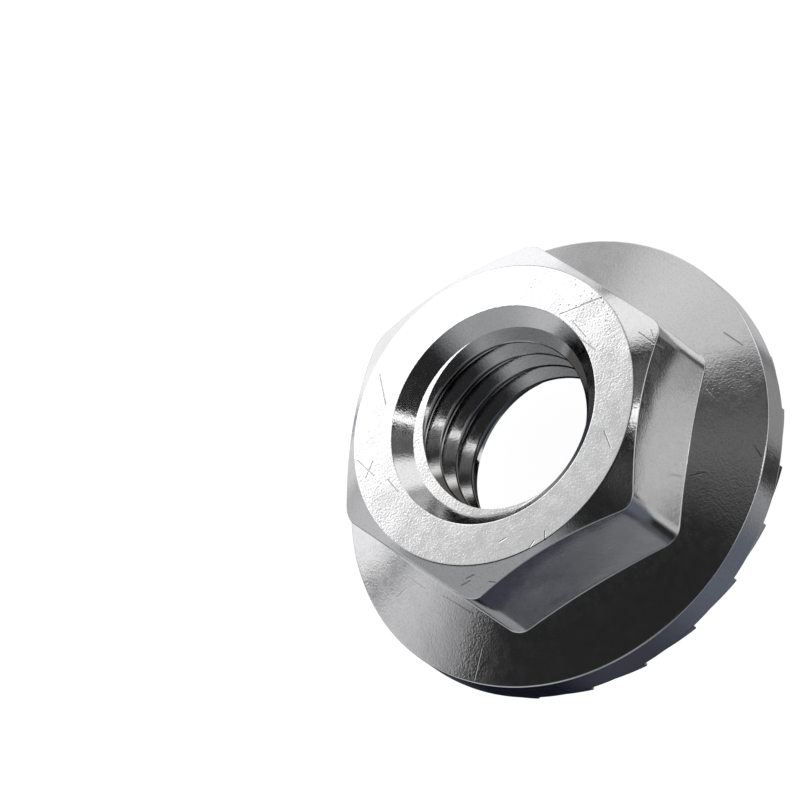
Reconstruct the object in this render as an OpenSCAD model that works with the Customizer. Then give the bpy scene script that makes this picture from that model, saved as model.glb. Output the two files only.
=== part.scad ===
// Hexagon flange nut with a serrated bearing face, forged and tapped as one piece.
// Millimetres. The nut stands on the tips of its serrations, which touch z = 0,
// and +Z runs up the thread's axis. Two of the flats face +X and -X.

/* [Overall] */
// Height from the tips of the teeth to the top face
nut_h = 6.65; // [6:0.05:9]

/* [Hexagon] */
// Width across the flats
across_flats = 13; // [12.4:0.1:14]
// Radius of the six upright corners
corner_r = 0.9; // [0.3:0.1:1.6]
// Distance from a flat in to the edge of the top face
crown_inset = 0.25; // [0.05:0.05:0.8]
// Slope of the chamfer round the top face, in degrees
crown_slope = 33.5; // [25:0.5:40]

/* [Flange] */
// Diameter of the flange
flange_d = 18.8; // [17:0.1:21]
// Height of the upright rim, without the teeth
rim_h = 1.27; // [0.9:0.01:1.6]
// Slope of the flange's upper face, in degrees
flange_slope = 18; // [10:0.5:24]
// Radius of the rim's upper and lower edges
rim_edge_r = 0.12; // [0.04:0.01:0.3]

/* [Bore] */
// Nominal diameter of the thread
thread_d = 8; // [7.6:0.1:8.4]
// How much narrower the tapping hole is than the thread
thread_crest_allowance = 1.1; // [0.9:0.05:1.35]
// How much wider the mouth in the top face is than the thread
top_mouth_extra = 1.1; // [0.4:0.1:1.8]
// Depth of the top countersink, which ends on a narrow flat ledge
top_sink_depth = 0.63; // [0.3:0.01:1]
// How much wider the mouth in the bearing face is than the thread
foot_mouth_extra = 1.4; // [0.4:0.1:1.8]
// Slope of the two countersinks, in degrees
countersink_slope = 45; // [30:1:55]

/* [Serrations] */
// Number of teeth round the bearing face
tooth_count = 24; // [18:1:32]
// Height of a tooth at its tip
tooth_h = 0.3; // [0.15:0.01:0.5]
// Share of the pitch that a tooth's ramp takes at its outer end
ramp_share = 0.78; // [0.5:0.01:0.95]
// Radial length of a tooth
tooth_len = 3.1; // [2:0.1:3.6]
// Step from the rim in to the outer ends of the teeth
tooth_inset = 0.08; // [0.04:0.01:0.4]

/* [Hidden] */
$fn = 96;
steel = [0.75, 0.76, 0.78];

// Straight steps along each rounded edge
edge_steps = 6;
// How far a cut or a buried end runs past the face that it crosses
overrun = 0.5;

flat_r = across_flats / 2;
flange_r = flange_d / 2;
crown_r = flat_r - crown_inset;
bore_r = (thread_d - thread_crest_allowance) / 2;
top_mouth_r = (thread_d + top_mouth_extra) / 2;
foot_mouth_r = (thread_d + foot_mouth_extra) / 2;
// A deep top countersink runs into the tapping hole and leaves no ledge
ledge_r = max(bore_r, top_mouth_r - top_sink_depth / tan(countersink_slope));

seat_z = tooth_h;
rim_top_z = seat_z + rim_h;
// The slope's upper end lies inside the hexagon
slope_end_r = flat_r - overrun;
slope_end_z = rim_top_z + (flange_r - slope_end_r) * tan(flange_slope);

tooth_outer_r = flange_r - tooth_inset;
tooth_inner_r = tooth_outer_r - tooth_len;
tooth_pitch = 360 / tooth_count;
ramp_run = tooth_outer_r * sin(ramp_share * tooth_pitch);

// Points of an arc from one angle to another, both ends included
function arc(centre, r, from, to) = [
    for (i = [0 : edge_steps])
        let (a = from + (to - from) * i / edge_steps)
        centre + r * [cos(a), sin(a)]
];

// Outline of the hexagon, each corner an arc that runs into both of its flats
function hexagon_outline() = [
    for (corner = [30 : 60 : 330])
        let (centre_r = (flat_r - corner_r) / cos(30))
        each arc(centre_r * [cos(corner), sin(corner)], corner_r, corner - 30, corner + 30)
];

// Half section of the flange, from the axis out round the rim and up the slope
function flange_section() =
    let (
        r = rim_edge_r,
        edge_angle = 90 - flange_slope,
        // The upper edge's arc touches both the rim and the slope
        drop = r * tan(edge_angle / 2)
    )
    concat(
        [[0, seat_z]],
        arc([flange_r - r, seat_z + r], r, -90, 0),
        arc([flange_r - r, rim_top_z - drop], r, 0, edge_angle),
        [[slope_end_r, slope_end_z], [0, slope_end_z]]
    );

// Wrench hexagon, with its top corners turned down to a cone
module wrench_hexagon() {
    foot_z = seat_z + rim_h / 2;
    h = nut_h - foot_z;
    intersection() {
        translate([0, 0, foot_z])
            linear_extrude(h) polygon(hexagon_outline());
        translate([0, 0, foot_z - overrun])
            cylinder(
                h = h + overrun,
                r1 = crown_r + (h + overrun) / tan(crown_slope),
                r2 = crown_r
            );
    }
}

// Round flange, with an upright rim and a sloping upper face
module flange() {
    rotate_extrude() polygon(flange_section());
}

// One tooth as a long wedge along +X: its tip is a level edge that drops
// straight to one side and ramps up into the flange on the other
module tooth_wedge() {
    buried = seat_z + overrun / 2;
    rotate([90, 0, 90])
        linear_extrude(tooth_outer_r + overrun)
            polygon([[0, 0], [0, buried], [-ramp_run * buried / tooth_h, buried]]);
}

// Ring of ratchet teeth, which bite when the nut is turned to loosen it
module serrations() {
    intersection() {
        difference() {
            cylinder(h = seat_z + overrun, r = tooth_outer_r);
            translate([0, 0, -overrun])
                cylinder(h = seat_z + 3 * overrun, r = tooth_inner_r);
        }
        for (i = [0 : tooth_count - 1])
            rotate(i * tooth_pitch) tooth_wedge();
    }
}

// Tapping hole, with a countersink at each end and a ledge under the top one
module bore() {
    flare = overrun / tan(countersink_slope);
    ledge_z = nut_h - (top_mouth_r - ledge_r) * tan(countersink_slope);
    rotate_extrude()
        polygon([
            [0, seat_z - overrun],
            [foot_mouth_r + flare, seat_z - overrun],
            [bore_r, seat_z + (foot_mouth_r - bore_r) * tan(countersink_slope)],
            [bore_r, ledge_z],
            [ledge_r, ledge_z],
            [top_mouth_r + flare, nut_h + overrun],
            [0, nut_h + overrun]
        ]);
}

module flange_nut() {
    color(steel)
        difference() {
            union() {
                wrench_hexagon();
                flange();
                serrations();
            }
            bore();
        }
}

flange_nut();
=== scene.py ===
"""Dressed model of the serrated flange nut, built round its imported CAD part.

The nut is one closed mesh. A plain grid gives its section and its hexagon. One Geometry Nodes tree
cuts the thread into the grid's bore, and another sets one tooth of the bearing face round the axis.
Lengths in the values below are millimetres, in the CAD frame: the nut stands on z = 0 on the tips
of its teeth, and its axis is +Z.
"""

from functools import reduce
from math import asin, atan2, cos, pi, radians, sin, tan

import bmesh
import bpy
import numpy as np
from mathutils import Matrix, Vector


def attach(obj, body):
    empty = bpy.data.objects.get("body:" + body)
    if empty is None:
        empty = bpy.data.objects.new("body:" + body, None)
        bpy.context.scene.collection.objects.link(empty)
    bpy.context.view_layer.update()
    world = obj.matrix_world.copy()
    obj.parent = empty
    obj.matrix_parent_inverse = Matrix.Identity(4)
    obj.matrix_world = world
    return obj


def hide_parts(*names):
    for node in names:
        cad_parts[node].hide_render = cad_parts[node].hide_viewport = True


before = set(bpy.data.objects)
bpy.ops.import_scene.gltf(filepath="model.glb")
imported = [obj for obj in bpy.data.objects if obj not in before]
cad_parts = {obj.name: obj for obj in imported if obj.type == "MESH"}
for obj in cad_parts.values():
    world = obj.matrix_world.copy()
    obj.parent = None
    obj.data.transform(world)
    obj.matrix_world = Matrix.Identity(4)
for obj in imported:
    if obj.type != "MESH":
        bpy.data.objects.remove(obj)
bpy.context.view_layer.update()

MM = 0.001

# Hexagon
NUT_HEIGHT = 6.65
FLAT_R = 6.5
CORNER_R = 0.9
CROWN_R = 6.25
CROWN_SLOPE = radians(33.5)

# Flange
FLANGE_R = 9.4
SEAT_Z = 0.3
RIM_TOP_Z = 1.57
FLANGE_SLOPE = radians(18)
RIM_TOP_EDGE_R = 0.07
RIM_EDGE_R = 0.12

# Broken edges and fillets
HEXAGON_FOOT_R = 0.05
CHAMFER_FOOT_R = 0.08
CHAMFER_TOP_R = 0.1
MOUTH_EDGE_R = 0.02
FOOT_EDGE_R = 0.05

# Bore
CREST_R = 3.45
MOUTH_R = 4.55
LEDGE_R = 3.92
LEDGE_Z = NUT_HEIGHT - (MOUTH_R - LEDGE_R)
FOOT_MOUTH_R = 4.7
FOOT_CONE_TOP_Z = SEAT_Z + FOOT_MOUTH_R - CREST_R

# Thread
PITCH = 1.25
CREST_WIDTH = 0.12
ROOT_WIDTH = 0.495
GROOVE_DEPTH = (PITCH - CREST_WIDTH - ROOT_WIDTH) / 2 / tan(radians(30))
EDGE_BREAK = 0.02
# Height of a crest where the thread crosses +X
THREAD_START = LEDGE_Z - PITCH * 95 / 360
# How far the roots' rows run out past the foot's cone
RUN_OUT = 0.03

# Serrations
TEETH = 24
TOOTH_H = 0.3
TOOTH_PITCH = 2 * pi / TEETH
TOOTH_OUTER_R = 9.32
TOOTH_INNER_R = 6.22
RAMP_SHARE = 0.78
RAMP_RUN = TOOTH_OUTER_R * sin(RAMP_SHARE * TOOTH_PITCH)
TOOTH_EDGE = 0.035
# Rings between a tooth's two ends. At the third, its ramp takes up the whole pitch.
TOOTH_RINGS = (8.5, 7.8, RAMP_RUN / sin(TOOTH_PITCH), 6.8)

# Circles where the hexagon's grid meets the ring of teeth, above and below
UPPER_JOIN_R = 7.95
LOWER_JOIN_R = 6.0
JOIN_GAP = 0.18
# Places closer than this are welded
WELD = 0.0008

# Grid: columns along half a flat and round a corner, and the gap between the two
FLAT_COLUMNS = 18
CORNER_COLUMNS = 11
COLUMN_GAP = radians(0.16)
# Distance from a rounded corner to the rows that hold its shading
HOLD = 0.04
# Extra ring half way out on the flange's slope
SLOPE_RING_R = 8.6
# Edges that bend more than this are shaded as sharp
SHARP = radians(16)


def cone_z(r):
    """Height of the flange's sloping face."""
    return RIM_TOP_Z + (FLANGE_R - r) * tan(FLANGE_SLOPE)


def hexagon_columns():
    """Angle and radius of each column of the grid, once round the hexagon."""
    arc_centre = (FLAT_R - CORNER_R) / cos(radians(30))
    arc_start = atan2(arc_centre * sin(radians(30)), FLAT_R)
    flat_end = arc_start - COLUMN_GAP
    half = [(a, FLAT_R / cos(a)) for a in np.linspace(0, flat_end, FLAT_COLUMNS)]
    for turn in np.linspace(-30, 30, CORNER_COLUMNS):
        a = radians(30 + turn)
        x = arc_centre * cos(radians(30)) + CORNER_R * cos(a)
        y = arc_centre * sin(radians(30)) + CORNER_R * sin(a)
        half.append((atan2(y, x), np.hypot(x, y)))
    half += [(radians(60) - a, r) for a, r in reversed(half[1:FLAT_COLUMNS])]
    columns = [(a + radians(60) * k, r) for k in range(6) for a, r in half]
    # The last column lies on the first
    return np.array(columns + [(2 * pi, FLAT_R)])


def rounded(points, radii, steps):
    """Rows of a section: its corners become arcs, each held by a row on both sides.

    A point is a pair of r and z, each a number or one number a column.
    """
    points = [np.stack(np.broadcast_arrays(*p), -1).astype(float) for p in points]
    shape = np.broadcast_shapes(*(p.shape for p in points))
    points = [np.broadcast_to(p, shape) for p in points]
    rows = [points[0]]
    for i in range(1, len(points) - 1):
        corner = points[i]
        if radii[i] == 0:
            rows.append(corner)
            continue
        before = points[i - 1] - corner
        after = points[i + 1] - corner
        before = before / np.linalg.norm(before, axis=-1, keepdims=True)
        after = after / np.linalg.norm(after, axis=-1, keepdims=True)
        between = np.arccos(np.clip((before * after).sum(-1, keepdims=True), -1, 1))
        reach = radii[i] / np.tan(between / 2)
        start, end = corner + before * reach, corner + after * reach
        middle = before + after
        middle = middle / np.linalg.norm(middle, axis=-1, keepdims=True)
        centre = corner + middle * radii[i] / np.sin(between / 2)
        rows.append(start + before * HOLD)
        for k in range(steps[i] + 1):
            t = k / steps[i]
            lean = (pi - between) * (t - 0.5)
            side = np.stack([-middle[..., 1], middle[..., 0]], -1)
            side = side * np.sign((side * (end - start)).sum(-1, keepdims=True))
            rows.append(centre + radii[i] * (side * np.sin(lean) - middle * np.cos(lean)))
        rows.append(end + after * HOLD)
    rows.append(points[-1])
    return rows


def turned(rows, angles):
    """Places of rows of r and z, turned to the columns' angles."""
    around = np.stack([np.cos(angles), np.sin(angles), np.zeros_like(angles)], -1)
    return [around * row[..., :1] + np.array([0, 0, 1]) * row[..., 1:] for row in rows]


def stitch(mesh, ring_a, ring_b, angle_a, angle_b):
    """Triangles between two open rings of vertices that start and end at the same angles."""
    i = j = 0
    while i < len(ring_a) - 1 or j < len(ring_b) - 1:
        step_a = i < len(ring_a) - 1 and (
            j == len(ring_b) - 1 or angle_a[i + 1] <= angle_b[j + 1]
        )
        corners = [ring_a[i], ring_b[j], ring_a[i + 1] if step_a else ring_b[j + 1]]
        mesh.faces.new(corners)
        i, j = (i + 1, j) if step_a else (i, j + 1)


def tooth_ring_angles():
    """Angles of the plain columns of one tooth's sector, its tip at 0."""
    half = TOOTH_PITCH / 2
    foot = TOOTH_PITCH - asin(RAMP_RUN / TOOTH_OUTER_R)
    return np.concatenate([np.linspace(-half, 0, 7), [foot / 2], np.linspace(foot, half, 4)])


def tooth_sector():
    """Rows of one tooth's sector, from the flange's slope round to the flat ring inside."""
    half = TOOTH_PITCH / 2
    plain = tooth_ring_angles()
    # The tip has three columns: the ramp's end, the drop's top and the drop's foot
    angles = np.concatenate([plain[:6], [0, 0, 0], plain[7:]])
    ramp_end, drop_top, drop_foot = 6, 7, 8
    seat = slice(9, 11)

    lathe = rounded(
        [
            (UPPER_JOIN_R, cone_z(UPPER_JOIN_R)),
            (FLANGE_R, RIM_TOP_Z),
            (FLANGE_R, SEAT_Z + RIM_EDGE_R + HOLD),
        ],
        [0, RIM_TOP_EDGE_R, 0],
        [0, 6, 0],
    )
    lathe.insert(1, np.array([SLOPE_RING_R, cone_z(SLOPE_RING_R)]))
    # The rim's lower edge runs out on the teeth's outer face
    edge_end = np.arccos(1 - (FLANGE_R - TOOTH_OUTER_R) / RIM_EDGE_R)
    for a in np.linspace(0, edge_end, 6)[:-1]:
        above = 1 - sin(a) / sin(edge_end)
        lathe.append(np.array([FLANGE_R - RIM_EDGE_R * (1 - cos(a)), SEAT_Z + RIM_EDGE_R * above]))
    rows = turned([np.broadcast_to(row, (len(angles), 2)) for row in lathe], angles)

    def ramp_z(r, angle):
        """Height of the ramp at an angle short of its tip."""
        z = TOOTH_H * (r * sin(angle) - TOOTH_EDGE) / (RAMP_RUN - TOOTH_EDGE)
        return min(max(z, 0), SEAT_Z)

    def underside(r):
        """Angles and heights of the tooth's columns at one radius."""
        crease = max(0, TOOTH_PITCH - asin(min(1, RAMP_RUN / r)))
        short = asin(TOOTH_EDGE / r)
        a = np.zeros(len(angles))
        a[:7] = np.linspace(-half, -short, 7)
        a[drop_top] = a[drop_foot] = 0
        a[seat] = [crease / 2, crease]
        a[11:] = np.linspace(crease, half, 4)[1:]
        z = np.array([ramp_z(r, -x if i <= ramp_end else TOOTH_PITCH - x) for i, x in enumerate(a)])
        z[drop_top] = TOOTH_EDGE
        return a, z

    def ring(r, inset=0, lift=None):
        """Angles, radii and heights round the tooth, or on its end's lower edge with a lift."""
        a, z = underside(r)
        reach = np.full(len(a), float(r))
        if lift is not None:
            edge = np.minimum(TOOTH_EDGE, 0.45 * (SEAT_Z - z))
            z = z + edge * lift
            reach = reach + edge * inset
            reach[drop_top] = r + TOOTH_EDGE * (1 if r == TOOTH_INNER_R else -1)
            z[drop_top] = TOOTH_EDGE
        return a, reach, z

    def place(a, reach, z):
        return np.stack([reach * np.cos(a), reach * np.sin(a), z], -1)

    # Outer face of the teeth, from the seat's level down
    a, reach, z = ring(TOOTH_OUTER_R, 0, 1)
    corner = TOOTH_OUTER_R - TOOTH_EDGE
    top = place(a, np.full(len(a), TOOTH_OUTER_R), np.full(len(a), SEAT_Z))
    wall_foot = place(a, np.full(len(a), TOOTH_OUTER_R), z)
    a, reach, z = ring(TOOTH_OUTER_R, -1, 0)
    edge = place(a, reach, z)
    for row in (top, wall_foot, edge):
        row[drop_foot] = [corner, 0, SEAT_Z]
        row[drop_top] = [corner, 0, TOOTH_EDGE]
    top[drop_top] = top[drop_foot]
    rows += [top, wall_foot, edge]
    rows += [place(*ring(r)) for r in TOOTH_RINGS]

    # Inner face of the teeth, up to the flat ring
    corner = TOOTH_INNER_R + TOOTH_EDGE
    a, reach, z = ring(TOOTH_INNER_R, 1, 0)
    foot_z = underside(TOOTH_INNER_R)[1][drop_foot]
    edge = place(a, reach, z)
    edge[drop_foot] = [corner, 0, foot_z]
    a, reach, z = ring(TOOTH_INNER_R, 0, 1)
    wall_foot = place(a, np.full(len(a), TOOTH_INNER_R), z)
    edge[drop_top] = wall_foot[drop_top] = [corner, 0, TOOTH_EDGE]
    top = place(a, np.full(len(a), TOOTH_INNER_R), np.full(len(a), SEAT_Z))
    top[drop_top] = top[drop_foot]
    flat = turned([np.broadcast_to(np.array([LOWER_JOIN_R, SEAT_Z]), (len(angles), 2))], angles)[0]
    rows += [edge, wall_foot, top, flat]
    return rows


def nut_blank():
    """The grid that the trees work on: the hexagon with its plain bore, and one tooth's sector."""
    columns = hexagon_columns()
    angle, hex_r = columns[:, 0], columns[:, 1]
    chamfer_z = NUT_HEIGHT - (hex_r - CROWN_R) * tan(CROWN_SLOPE)
    top_rows = rounded(
        [
            (UPPER_JOIN_R - JOIN_GAP, cone_z(UPPER_JOIN_R - JOIN_GAP)),
            (hex_r, cone_z(hex_r)),
            (hex_r, chamfer_z),
            (CROWN_R, NUT_HEIGHT),
            (MOUTH_R, NUT_HEIGHT),
            (LEDGE_R, LEDGE_Z),
        ],
        [0, HEXAGON_FOOT_R, CHAMFER_FOOT_R, CHAMFER_TOP_R, MOUTH_EDGE_R, 0],
        [0, 6, 4, 3, 4, 0],
    )
    foot_rows = rounded(
        [
            (CREST_R, FOOT_CONE_TOP_Z),
            (FOOT_MOUTH_R, SEAT_Z),
            (LOWER_JOIN_R - JOIN_GAP, SEAT_Z),
        ],
        [0, FOOT_EDGE_R, 0],
        [0, 4, 0],
    )
    # The thread's lowest row stands in for the cone's top
    foot_rows = [np.broadcast_to(row, (len(angle), 2)) for row in foot_rows[1:]]

    # Rows of the thread, in turns up from its start, at the bends of its profile
    bend = CREST_WIDTH / 2
    root = PITCH / 2 - ROOT_WIDTH / 2
    middle = (bend + root) / 2
    marks = [0, bend - EDGE_BREAK, bend + EDGE_BREAK, middle, root - EDGE_BREAK, root + EDGE_BREAK]
    profile = [m / PITCH for m in marks]
    profile += [0.5] + [1 - p for p in reversed(profile[1:])]
    lowest = FOOT_CONE_TOP_Z - GROOVE_DEPTH - RUN_OUT
    first = int(np.floor((lowest - THREAD_START) / PITCH)) - 2
    last = int(np.ceil((LEDGE_Z - THREAD_START) / PITCH)) + 1
    turns = [t + p for t in range(first, last) for p in profile]
    inside = [
        t
        for t in turns
        if lowest < THREAD_START + PITCH * (t + 1) and THREAD_START + PITCH * t < LEDGE_Z
    ]
    inside = [inside[0] - 1] + inside + [inside[-1] + 1]

    mesh = bmesh.new()
    threaded = mesh.verts.layers.float.new("threaded")
    turn = mesh.verts.layers.float.new("turn")
    around = mesh.verts.layers.float.new("around")
    one_tooth = mesh.faces.layers.float.new("one_tooth")

    def add_row(places, thread_turn=None):
        row = [mesh.verts.new(p * MM) for p in places]
        for vert, a in zip(row, angle if len(places) == len(angle) else [0] * len(row)):
            vert[around] = a / (2 * pi)
            if thread_turn is not None:
                vert[threaded] = 1
                vert[turn] = thread_turn
        return row

    def bridge(rows, mark=0):
        for a, b in zip(rows, rows[1:]):
            for i in range(len(a) - 1):
                face = mesh.faces.new([a[i], b[i], b[i + 1], a[i + 1]])
                face[one_tooth] = mark

    rows = [add_row(p) for p in turned(top_rows, angle)]
    plain_bore = np.broadcast_to(np.array([CREST_R, LEDGE_Z]), (len(angle), 2))
    rows += [add_row(turned([plain_bore], angle)[0], t) for t in reversed(inside)]
    rows += [add_row(p) for p in turned(foot_rows, angle)]
    bridge(rows)

    # The two rings that lie between the hexagon's columns and the teeth's
    sector = tooth_ring_angles()
    ring = [k * TOOTH_PITCH + a for k in range(TEETH) for a in sector[6:]]
    ring += [(k + 1) * TOOTH_PITCH + a for k in range(TEETH) for a in sector[1:6]]
    ring = np.array(sorted(set(np.round(ring, 9))) + [2 * pi])
    ring = ring[np.concatenate([[True], np.diff(ring) > 1e-6])]
    for row, r, z, upper in (
        (rows[0], UPPER_JOIN_R, cone_z(UPPER_JOIN_R), True),
        (rows[-1], LOWER_JOIN_R, SEAT_Z, False),
    ):
        outer = [mesh.verts.new(Vector((r * cos(a), r * sin(a), z)) * MM) for a in ring]
        if upper:
            stitch(mesh, outer, row, ring, angle)
        else:
            stitch(mesh, row, outer, angle, ring)

    bridge([add_row(p) for p in tooth_sector()], 1)
    blank = bpy.data.meshes.new("nut_blank")
    mesh.to_mesh(blank)
    mesh.free()
    return blank


def add_node(tree, kind, into=(), **settings):
    """A node with its settings, and what goes into its sockets by name or number."""
    made = tree.nodes.new(kind)
    for key, value in settings.items():
        setattr(made, key, value)
    for key, value in dict(into).items():
        if isinstance(value, bpy.types.NodeSocket):
            tree.links.new(value, made.inputs[key])
        else:
            made.inputs[key].default_value = value
    return made


class Tree:
    """A Geometry Nodes tree with named inputs, written as sums on sockets."""

    def __init__(self, name, inputs):
        self.tree = bpy.data.node_groups.new(name, "GeometryNodeTree")
        face = self.tree.interface
        face.new_socket("Nut", in_out="INPUT", socket_type="NodeSocketGeometry")
        self.defaults = {}
        for label, value in inputs.items():
            kind = "NodeSocketFloat"
            if isinstance(value, bpy.types.Material):
                kind = "NodeSocketMaterial"
            elif isinstance(value, int):
                kind = "NodeSocketInt"
            socket = face.new_socket(label, in_out="INPUT", socket_type=kind)
            self.defaults[socket.identifier] = value
        face.new_socket("Nut", in_out="OUTPUT", socket_type="NodeSocketGeometry")
        self.start = self.tree.nodes.new("NodeGroupInput")
        self.end = self.tree.nodes.new("NodeGroupOutput")

    def given(self, label):
        return self.start.outputs[label]

    def node(self, kind, into=(), **settings):
        return add_node(self.tree, kind, into, **settings)

    def sum(self, operation, *terms, clamp=False):
        into = dict(enumerate(terms))
        return self.node("ShaderNodeMath", into, operation=operation, use_clamp=clamp).outputs[0]

    def value_of(self, attribute):
        read = self.node("GeometryNodeInputNamedAttribute", {"Name": attribute}, data_type="FLOAT")
        return read.outputs["Attribute"]

    def finish(self, geometry, steel):
        """Ends the tree in real geometry with its material."""
        real = self.node("GeometryNodeRealizeInstances", {"Geometry": geometry})
        dressed = self.node(
            "GeometryNodeSetMaterial", {"Geometry": real.outputs[0], "Material": steel}
        )
        self.tree.links.new(dressed.outputs[0], self.end.inputs["Nut"])

    def put_on(self, piece):
        modifier = piece.modifiers.new(self.tree.name, "NODES")
        modifier.node_group = self.tree
        for identifier, value in self.defaults.items():
            modifier[identifier] = value


def tapped_thread(steel):
    """Tree that winds the bore's rows into a right-hand thread between the ledge and the foot."""
    t = Tree(
        "tapped_thread",
        {
            "Pitch": PITCH * MM,
            "Crest radius": CREST_R * MM,
            "Groove depth": GROOVE_DEPTH * MM,
            "Crest width": CREST_WIDTH * MM,
            "Root width": ROOT_WIDTH * MM,
            "Edge break": EDGE_BREAK * MM,
            "Start height": THREAD_START * MM,
            "Ledge height": LEDGE_Z * MM,
            "Foot cone height": FOOT_CONE_TOP_Z * MM,
            "Foot cone reach": (GROOVE_DEPTH + RUN_OUT) * MM,
            "Steel": steel,
        },
    )
    pitch, start = t.given("Pitch"), t.given("Start height")
    around = t.value_of("around")
    wound = t.sum("ADD", t.value_of("turn"), around)
    height = t.sum("MULTIPLY_ADD", wound, pitch, start)
    height = t.sum("MINIMUM", height, t.given("Ledge height"))
    lowest = t.sum("SUBTRACT", t.given("Foot cone height"), t.given("Foot cone reach"))
    height = t.sum("MAXIMUM", height, lowest)

    phase = t.sum("DIVIDE", t.sum("SUBTRACT", height, start), pitch)
    phase = t.sum("SUBTRACT", phase, around)
    from_crest = t.sum("ABSOLUTE", t.sum("WRAP", phase, 0.5, -0.5))
    from_crest = t.sum("MULTIPLY", from_crest, pitch)
    crest_end = t.sum("MULTIPLY", t.given("Crest width"), 0.5)
    root_start = t.sum("MULTIPLY", t.sum("SUBTRACT", pitch, t.given("Root width")), 0.5)

    def depth_at(offset):
        place = t.sum("ADD", from_crest, offset)
        run = t.sum("SUBTRACT", root_start, crest_end)
        share = t.sum("DIVIDE", t.sum("SUBTRACT", place, crest_end), run, clamp=True)
        return t.sum("MULTIPLY", share, t.given("Groove depth"))

    broken = t.given("Edge break")
    depth = t.sum("ADD", depth_at(broken), depth_at(t.sum("MULTIPLY", broken, -1.0)))
    radius = t.sum("MULTIPLY_ADD", depth, 0.5, t.given("Crest radius"))
    cone = t.sum("SUBTRACT", t.given("Foot cone height"), height)
    cone = t.sum("ADD", cone, t.given("Crest radius"))
    radius = t.sum("MAXIMUM", radius, cone)

    angle = t.sum("MULTIPLY", around, 2 * pi)
    place = t.node(
        "ShaderNodeCombineXYZ",
        {
            "X": t.sum("MULTIPLY", radius, t.sum("COSINE", angle)),
            "Y": t.sum("MULTIPLY", radius, t.sum("SINE", angle)),
            "Z": height,
        },
    )
    chosen = t.sum("GREATER_THAN", t.value_of("threaded"), 0.5)
    moved = t.node(
        "GeometryNodeSetPosition",
        {"Geometry": t.given("Nut"), "Selection": chosen, "Position": place.outputs[0]},
    )
    t.finish(moved.outputs[0], t.given("Steel"))
    return t


def ratchet_ring(steel):
    """Tree that sets the one tooth's sector round the axis and welds the ring to the hexagon."""
    t = Tree("ratchet_ring", {"Teeth": TEETH, "Weld": WELD * MM, "Steel": steel})
    chosen = t.sum("GREATER_THAN", t.value_of("one_tooth"), 0.5)
    parted = t.node(
        "GeometryNodeSeparateGeometry",
        {"Geometry": t.given("Nut"), "Selection": chosen},
        domain="FACE",
    )
    points = t.node("GeometryNodePoints", {"Count": t.given("Teeth")})
    step = t.sum("DIVIDE", 2 * pi, t.given("Teeth"))
    turn = t.sum("MULTIPLY", t.node("GeometryNodeInputIndex").outputs[0], step)
    turn = t.node("ShaderNodeCombineXYZ", {"Z": turn})
    ring = t.node(
        "GeometryNodeInstanceOnPoints",
        {
            "Points": points.outputs[0],
            "Instance": parted.outputs["Selection"],
            "Rotation": turn.outputs[0],
        },
    )
    real = t.node("GeometryNodeRealizeInstances", {"Geometry": ring.outputs[0]})
    whole = t.node("GeometryNodeJoinGeometry")
    t.tree.links.new(real.outputs[0], whole.inputs[0])
    t.tree.links.new(parted.outputs["Inverted"], whole.inputs[0])
    welded = t.node(
        "GeometryNodeMergeByDistance",
        {"Geometry": whole.outputs[0], "Distance": t.given("Weld")},
    )
    t.finish(welded.outputs[0], t.given("Steel"))
    return t


# Steel where it is bright and where it is dull, and how dull each mark is, up to 1; in the thread
# the dull marks are painted shade
BRIGHT = (0.765, 0.765, 0.77, 1)
DULL = (0.105, 0.1, 0.095, 1)
# Painted shade in the thread's roots and the flanks that face down
ROOT_PAINTED_SHADE = 0.8
# Painted shade on the thread's crests, for dark lines between its bands
CREST_PAINTED_SHADE = 0.55
DULL_PIT = 0.6
DULL_SCRATCH = 0.35
DULL_GRAIN = 0.115
# Way from the axis to the thread's bright side, where no shade is painted; the bore away from it
# gets painted shade
SIDE_CLEAR_OF_PAINTED_SHADE = (0.985, 0.174, 0.0)

# Relief in micrometres. A noise has its scale a millimetre, detail, distortion and height.
MICRON = 1e-6
PEEL = (11.0, 1, 0.5, 2.5)
LEATHER = (5.5, 1, 1.0, 1.4)
WAVE = (0.8, 0, 0.0, 9.0)
BORE_RELIEF = 0.6
PIT_DEPTH = 4.0
SCRATCH_DEPTH = 4.0
# Middle of the patch with pits, cells a millimetre there, and the share of them without a pit
PIT_PATCH = (1.7, -5.0, NUT_HEIGHT)
PIT_CELLS = 5.0
NO_PIT = 0.4

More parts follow.
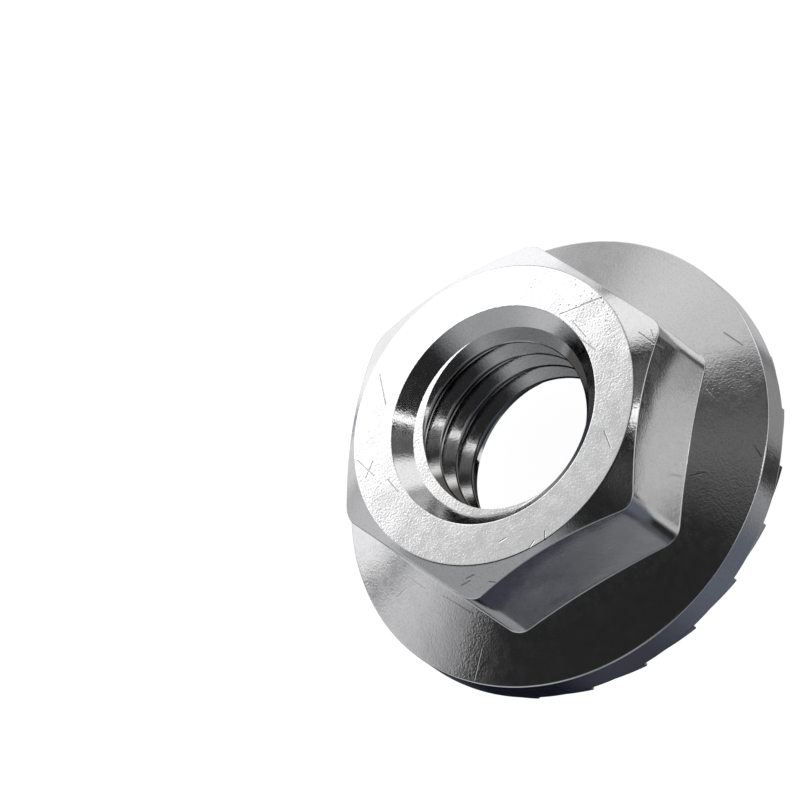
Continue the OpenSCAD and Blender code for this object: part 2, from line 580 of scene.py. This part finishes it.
# Scratches, each from one point of the surface to another
SCRATCHES = [
    ((2.36, -4.05, 6.65), (1.97, -5.88, 6.65)),
    ((2.20, -5.00, 6.65), (2.01, -5.87, 6.65)),
    ((1.75, -4.45, 6.65), (0.80, -4.72, 6.65)),
    ((0.91, -4.46, 6.65), (0.04, -4.88, 6.65)),
    ((-3.41, -4.03, 6.65), (-4.20, -4.03, 6.65)),
    ((4.43, 3.81, 6.65), (3.05, 4.00, 6.65)),
    ((1.48, 5.90, 6.65), (0.47, 5.49, 6.65)),
    ((0.59, 5.83, 6.65), (1.06, 5.33, 6.65)),
    ((-0.04, 4.99, 6.65), (-0.78, 4.77, 6.65)),
    ((-5.92, -0.34, 6.65), (-6.25, -0.22, 6.65)),
    ((-6.19, 0.46, 6.65), (-6.05, 0.22, 6.65)),
    ((-5.25, 1.57, 6.65), (-5.26, 1.25, 6.65)),
    ((-5.69, 3.45, 6.38), (-5.78, 3.06, 6.46)),
    ((-5.75, 3.80, 6.23), (-5.84, 3.34, 6.33)),
    ((-6.29, 2.65, 6.27), (-6.48, 2.38, 6.21)),
    ((-0.14, -7.09, 6.09), (-0.47, -7.06, 6.10)),
    ((-0.75, -7.05, 6.09), (-0.71, -7.10, 5.43)),
    ((-0.12, -6.68, 6.36), (-0.79, -7.01, 6.12)),
    ((0.87, -8.45, 1.86), (-0.01, -8.92, 1.73)),
    ((-1.23, -7.10, 2.28), (-3.21, -7.69, 2.05)),
    ((-3.52, -7.78, 1.92), (-4.83, -7.92, 1.61)),
    ((-1.10, 7.43, 2.18), (-2.39, 6.71, 2.31)),
    ((-1.76, 8.11, 1.93), (-1.81, 6.75, 2.40)),
    ((-2.93, 6.23, 2.43), (-4.64, 5.15, 2.37)),
    ((-5.95, 5.49, 1.99), (-6.77, 6.37, 1.60)),
    ((8.44, -3.05, 1.71), (4.82, -5.22, 2.31)),
    ((-4.39, -5.20, 2.41), (-4.52, -5.80, 2.23)),
]

# Rougher places: a line between two points, how far they reach from it, and how much they add
ROUGH = [
    ((-5.0, 4.7, 2.4), (-6.3, 6.5, 1.7), 1.0, 1.6),
    ((-0.9, -6.9, 2.3), (-1.6, -8.7, 1.8), 1.4, 0.7),
    ((-3.6, -7.0, 2.1), (-5.2, -6.2, 2.0), 2.2, 1.2),
]


def polished_steel():
    """Bright steel: slight orange peel, fine pits, short scratches, and painted shade in the
    thread's roots, on its crests and on its side towards -X.
    """
    material = bpy.data.materials.new("polished_steel")
    material.use_nodes = True
    tree = material.node_tree
    shader = tree.nodes["Principled BSDF"]

    def node(kind, into=(), **settings):
        return add_node(tree, kind, into, **settings)

    def maths(operation, *terms):
        return node("ShaderNodeMath", dict(enumerate(terms)), operation=operation).outputs[0]

    def product(*terms):
        return reduce(lambda a, b: maths("MULTIPLY", a, b), terms)

    def greatest(*terms):
        return reduce(lambda a, b: maths("MAXIMUM", a, b), terms)

    def vector(operation, *terms, out="Vector"):
        made = node("ShaderNodeVectorMath", dict(enumerate(terms)), operation=operation)
        return made.outputs[out]

    def times(place, factor):
        into = {0: place, "Scale": factor}
        return node("ShaderNodeVectorMath", into, operation="SCALE").outputs[0]

    def ramp(value, start, end, low=0.0, high=1.0):
        into = {"Value": value, "From Min": start, "From Max": end, "To Min": low, "To Max": high}
        return node("ShaderNodeMapRange", into, interpolation_type="SMOOTHSTEP").outputs[0]

    def noise(scale, detail, distortion=0.0):
        into = {"Vector": place, "Scale": scale, "Detail": detail, "Distortion": distortion}
        return node("ShaderNodeTexNoise", into).outputs["Fac"]

    def layer(scale, detail, distortion, height):
        return product(noise(scale, detail, distortion), height)

    # In millimetres
    place = times(node("ShaderNodeTexCoord").outputs["Object"], 1 / MM)
    axes = node("ShaderNodeSeparateXYZ", {0: place})
    up = axes.outputs["Z"]

    def from_line(start, end):
        """Distance from the line between two points."""
        run = Vector(end) - Vector(start)
        off = vector("SUBTRACT", place, start)
        share = vector("DOT_PRODUCT", off, tuple(run / run.length_squared), out="Value")
        share = maths("MAXIMUM", maths("MINIMUM", share, 1.0), 0.0)
        return vector("DISTANCE", off, times(tuple(run), share), out="Value")

    # Relief, in micrometres
    grain = maths("ADD", layer(*PEEL), layer(*LEATHER))
    rough = 1.0
    for start, end, reach, more in ROUGH:
        patch = ramp(from_line(start, end), reach, 0.2 * reach, 0.0, more)
        rough = maths("ADD", patch, rough)
    relief = maths("ADD", product(grain, rough), layer(*WAVE))

    # Pits, in some cells of one patch of the top face
    cells = node("ShaderNodeTexVoronoi", {"Vector": place, "Scale": PIT_CELLS})
    chance = node("ShaderNodeSeparateColor", {0: cells.outputs["Color"]}).outputs[0]
    pit = product(
        ramp(cells.outputs["Distance"], 0.22, 0.1),
        ramp(vector("DISTANCE", place, PIT_PATCH, out="Value"), 2.6, 0.9),
        maths("GREATER_THAN", up, NUT_HEIGHT - 0.05),
        maths("GREATER_THAN", chance, NO_PIT),
    )
    scratch = reduce(lambda a, b: maths("MINIMUM", a, b), [from_line(*s) for s in SCRATCHES])
    scratch = ramp(scratch, 0.04, 0.008)
    relief = maths("SUBTRACT", relief, product(pit, PIT_DEPTH))
    relief = maths("SUBTRACT", relief, product(scratch, SCRATCH_DEPTH))

    # The bore below the ledge, which is smoother
    flat = vector("MULTIPLY", place, (1.0, 1.0, 0.0))
    radius = vector("LENGTH", flat, out="Value")
    bore = product(
        maths("LESS_THAN", radius, LEDGE_R + 0.2),
        maths("LESS_THAN", up, LEDGE_Z - 0.01),
        maths("GREATER_THAN", up, SEAT_Z + 0.5),
    )
    strength = ramp(bore, 0.0, 1.0, 1.0, BORE_RELIEF)
    relief = product(relief, MICRON)
    bump = node("ShaderNodeBump", {"Height": relief, "Strength": strength, "Distance": 1.0})
    tree.links.new(bump.outputs["Normal"], shader.inputs["Normal"])

    # Painted shade: the thread's roots and the flanks that face down are dull, and so are its
    # crests and its side at -X
    around = product(maths("ARCTAN2", axes.outputs["Y"], axes.outputs["X"]), 0.5 / pi)
    phase = maths("SUBTRACT", product(maths("SUBTRACT", up, THREAD_START), 1 / PITCH), around)
    phase = maths("WRAP", phase, 1.0, 0.0)
    flank_end = 0.5 - ROOT_WIDTH / PITCH / 2
    root = product(
        ramp(phase, flank_end - 0.03, flank_end + 0.03),
        maths("LESS_THAN", phase, 1 - CREST_WIDTH / PITCH / 2),
        ROOT_PAINTED_SHADE,
    )
    # Painted shade on the bore, away from its bright side
    side = vector("DOT_PRODUCT", vector("NORMALIZE", flat), SIDE_CLEAR_OF_PAINTED_SHADE, out="Value")
    # Painted shade on the thread's crests
    crest = ramp(radius, CREST_R + 0.04, CREST_R + 0.01, 0.0, CREST_PAINTED_SHADE)
    # Painted shade in the thread, together with the steel's duller pits, scratches and grain
    dull = greatest(
        product(greatest(root, ramp(side, 0.3, 0.15), crest), bore),
        product(pit, DULL_PIT),
        product(scratch, DULL_SCRATCH),
        ramp(noise(14.0, 2), 0.45, 0.7, 0.0, DULL_GRAIN),
    )
    colour = node("ShaderNodeMix", {"Factor": dull, "A": BRIGHT, "B": DULL}, data_type="RGBA")
    tree.links.new(colour.outputs["Result"], shader.inputs["Base Color"])
    shader.inputs["Metallic"].default_value = 1
    tree.links.new(ramp(noise(2.5, 2), 0.35, 0.65, 0.11, 0.16), shader.inputs["Roughness"])
    return material


def camera():
    """The photograph's viewing angle: nearly square on to the top, far off, with a long lens."""
    across = Vector((-0.286166, -0.813466, -0.506341))
    down = Vector((-0.781912, 0.503691, -0.367299))
    ahead = Vector((0.553825, 0.290806, -0.780199))
    # The nut's origin, as far across, down and ahead of the camera
    origin = Vector((6.950325, 3.006345, 315.121623))
    place = -(across * origin.x + down * origin.y + ahead * origin.z) * MM
    data = bpy.data.cameras.new("camera")
    data.lens = 360
    data.sensor_width = 36
    data.clip_start = 0.01
    data.clip_end = 10
    made = bpy.data.objects.new("camera", data)
    turn = Matrix((across, -down, -ahead)).transposed()
    made.matrix_world = Matrix.Translation(place) @ turn.to_4x4()
    bpy.context.scene.collection.objects.link(made)
    bpy.context.scene.camera = made


def nut():
    """The nut's one piece, in place of its CAD node."""
    steel = polished_steel()
    raw = bpy.data.objects.new("nut_raw", nut_blank())
    bpy.context.scene.collection.objects.link(raw)
    tapped_thread(steel).put_on(raw)
    ratchet_ring(steel).put_on(raw)
    graph = bpy.context.evaluated_depsgraph_get()
    mesh = bpy.data.meshes.new_from_object(raw.evaluated_get(graph), depsgraph=graph)
    bpy.data.objects.remove(raw)
    closed = bmesh.new()
    closed.from_mesh(mesh)
    bmesh.ops.dissolve_degenerate(closed, dist=1e-8, edges=closed.edges)
    bmesh.ops.recalc_face_normals(closed, faces=closed.faces)
    for face in closed.faces:
        face.smooth = True
    for edge in closed.edges:
        edge.smooth = edge.calc_face_angle(0) < SHARP
    closed.to_mesh(mesh)
    closed.free()
    for name in ("threaded", "turn", "around", "one_tooth"):
        if name in mesh.attributes:
            mesh.attributes.remove(mesh.attributes[name])
    mesh.name = "flange_nut_steel"
    made = bpy.data.objects.new("flange_nut_steel", mesh)
    bpy.context.scene.collection.objects.link(made)
    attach(made, "root")
    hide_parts("flange_nut")


def floor():
    """Pale floor that glows a little, so that it stays white under the nut and through its bore."""
    mesh = bpy.data.meshes.new("floor")
    wide = 0.6
    mesh.from_pydata(
        [(-wide, -wide, 0), (wide, -wide, 0), (wide, wide, 0), (-wide, wide, 0)], [], [(0, 1, 2, 3)]
    )
    made = bpy.data.objects.new("floor", mesh)
    material = bpy.data.materials.new("pale_floor")
    material.use_nodes = True
    shader = material.node_tree.nodes["Principled BSDF"]
    shader.inputs["Base Color"].default_value = (0.3, 0.3, 0.3, 1)
    shader.inputs["Roughness"].default_value = 1
    shader.inputs["Specular IOR Level"].default_value = 0
    shader.inputs["Emission Color"].default_value = (1, 1, 1, 1)
    shader.inputs["Emission Strength"].default_value = 0.97
    mesh.materials.append(material)
    bpy.context.scene.collection.objects.link(made)
    # The steel mirrors the studio's panels below the horizon, not the floor
    made.visible_glossy = False


# Panels round the nut, each painted over those before it: direction and half width across, its
# soft edge, height and half height, its soft edge, turn, and brightness. Angles in degrees.
PANELS = [
    # Grey wall, lighter at its foot and its near end, and dim in one corner
    (126, 56, 18, 13, 36.5, 11, -32, (0.39, 0.395, 0.405)),
    (95, 44, 8, -3, 19, 8, 0, (0.60, 0.60, 0.61)),
    (66, 10, 3, 28, 15, 12, 0, (0.73, 0.73, 0.74)),
    (165, 25, 5, 11, 10, 7, 0, (0.055, 0.06, 0.08)),
    # Faint light from high up
    (322, 38, 12, 66, 15, 4, 0, (0.085, 0.085, 0.085)),
    (322, 40, 12, 69, 5, 2.5, 0, (0.15, 0.15, 0.15)),
    (227, 13, 10, 55, 3.5, 6, 0, (0.10, 0.10, 0.10)),
    # Window, brightest low down
    (13, 40, 2, 14, 41, 5, 0, (0.77, 0.77, 0.77)),
    (333, 12, 3, 46, 7, 4, 0, (0.70, 0.70, 0.70)),
    (7, 10, 6, 31, 10, 6, 0, (0.44, 0.44, 0.44)),
    (46, 7, 2, 23, 10, 5, 0, (1.05, 1.05, 1.06)),
    (10, 33, 5, -3, 15, 8, 0, (1.25, 1.25, 1.27)),
    (40, 3, 2, -10, 4.5, 2, 0, (0.29, 0.30, 0.34)),
    (28, 12, 6, 54, 8, 6, 0, (0.64, 0.64, 0.64)),
    # Dim wall between a low light, a narrow strip and a broad one
    (285, 12, 3.5, 38, 31, 1.5, 0, (0.115, 0.115, 0.115)),
    (248, 24, 7, 15, 12, 4, 0, (0.81, 0.81, 0.81)),
    (266, 4, 2, 45, 16, 8, 27, (2.2, 2.2, 2.2)),
    (265, 4.5, 2, 52, 3, 2.5, 0, (1.2, 1.2, 1.2)),
    (312, 14, 4, 22, 20, 3.5, 41, (1.07, 1.07, 1.07)),
    (333, 15, 4, 4, 5, 4, 0, (0.55, 0.55, 0.55)),
    # What lies just below the horizon, and far below
    (185, 55, 12, -14, 12, 6, 0, (0.42, 0.44, 0.50)),
    (287, 46, 10, -14, 12, 6, 0, (0.95, 0.95, 0.95)),
    (180, 200, 1, -62, 32, 8, 0, (0.05, 0.053, 0.07)),
    (87, 33, 16, -60, 30, 8, 0, (0.008, 0.009, 0.016)),
    (215, 33, 25, -60, 30, 8, 0, (0.125, 0.14, 0.175)),
    (267, 26, 15, -60, 30, 8, 0, (0.33, 0.33, 0.335)),
    (295, 31, 8, -60, 30, 8, 0, (0.29, 0.29, 0.29)),
    (358, 26, 7, -60, 30, 8, 0, (0.58, 0.58, 0.59)),
    (268, 10, 4, -60, 30, 8, 0, (0.045, 0.045, 0.046)),
    (30, 11, 6, -28, 2.5, 4.5, 0, (0.15, 0.15, 0.155)),
]
CEILING = (0.022, 0.022, 0.023)


def studio():
    """Soft panels of light and shade at a great distance, and one large lamp close by."""
    world = bpy.data.worlds.new("studio")
    world.use_nodes = True
    tree = world.node_tree

    def node(kind, into=(), **settings):
        return add_node(tree, kind, into, **settings)

    def maths(operation, *terms):
        return node("ShaderNodeMath", dict(enumerate(terms)), operation=operation).outputs[0]

    def soft(distance, half, edge):
        """1 well within half of the middle, 0 well outside, and smooth between."""
        into = {"Value": distance, "From Min": half + edge, "From Max": half - edge}
        return node("ShaderNodeMapRange", into, interpolation_type="SMOOTHSTEP").outputs[0]

    direction = node("ShaderNodeTexCoord").outputs["Generated"]
    parts = node("ShaderNodeSeparateXYZ", {0: direction})
    across = maths("MULTIPLY", maths("ARCTAN2", parts.outputs[1], parts.outputs[0]), 180 / pi)
    height = maths("MULTIPLY", maths("ARCSINE", parts.outputs[2]), 180 / pi)
    colour = node("ShaderNodeRGB")
    colour.outputs[0].default_value = (*CEILING, 1)
    colour = colour.outputs[0]
    for middle, half, edge, mid_height, half_height, height_edge, turn, paint in PANELS:
        off = maths("WRAP", maths("SUBTRACT", across, middle), 180, -180)
        up = maths("SUBTRACT", height, mid_height)
        if turn:
            c, s = cos(radians(turn)), sin(radians(turn))
            off, up = (
                maths("SUBTRACT", maths("MULTIPLY", off, c), maths("MULTIPLY", up, s)),
                maths("ADD", maths("MULTIPLY", off, s), maths("MULTIPLY", up, c)),
            )
        mask = soft(maths("ABSOLUTE", up), half_height, height_edge)
        if half < 180:
            mask = maths("MULTIPLY", mask, soft(maths("ABSOLUTE", off), half, edge))
        colour = node(
            "ShaderNodeMix",
            {"Factor": mask, "A": colour, "B": (*paint, 1)},
            data_type="RGBA",
        ).outputs["Result"]
    light = node("ShaderNodeBackground", {"Color": colour, "Strength": 1.0})
    backdrop = node("ShaderNodeBackground", {"Color": (1, 1, 1, 1), "Strength": 1.0})
    seen = node("ShaderNodeLightPath").outputs["Is Camera Ray"]
    mixed = node("ShaderNodeMixShader", {0: seen, 1: light.outputs[0], 2: backdrop.outputs[0]})
    tree.links.new(mixed.outputs[0], tree.nodes["World Output"].inputs["Surface"])
    world.cycles.sampling_method = "NONE"
    bpy.context.scene.world = world
    bpy.context.scene.view_settings.view_transform = "Standard"

    lamp("window", (0.554, 0.291, 0.780), 0.1, (0.786, 0.124, -0.605), 0.020, 0.04, 1.3)


def lamp(name, direction, distance, aside, shift, size, brightness):
    """Square lamp beside a sight line from the nut's top, with the brightness of a panel."""
    data = bpy.data.lights.new(name, "AREA")
    data.shape = "SQUARE"
    data.size = size
    data.energy = brightness * pi * size * size
    made = bpy.data.objects.new(name, data)
    towards, aside = Vector(direction).normalized(), Vector(aside).normalized()
    made.location = Vector((0, 0, NUT_HEIGHT * MM)) + towards * distance + aside * shift
    turn = Matrix((aside, towards.cross(aside), towards)).transposed()
    made.rotation_mode = "QUATERNION"
    made.rotation_quaternion = turn.to_quaternion()
    bpy.context.scene.collection.objects.link(made)
    made.visible_camera = False


camera()
nut()
floor()
studio()
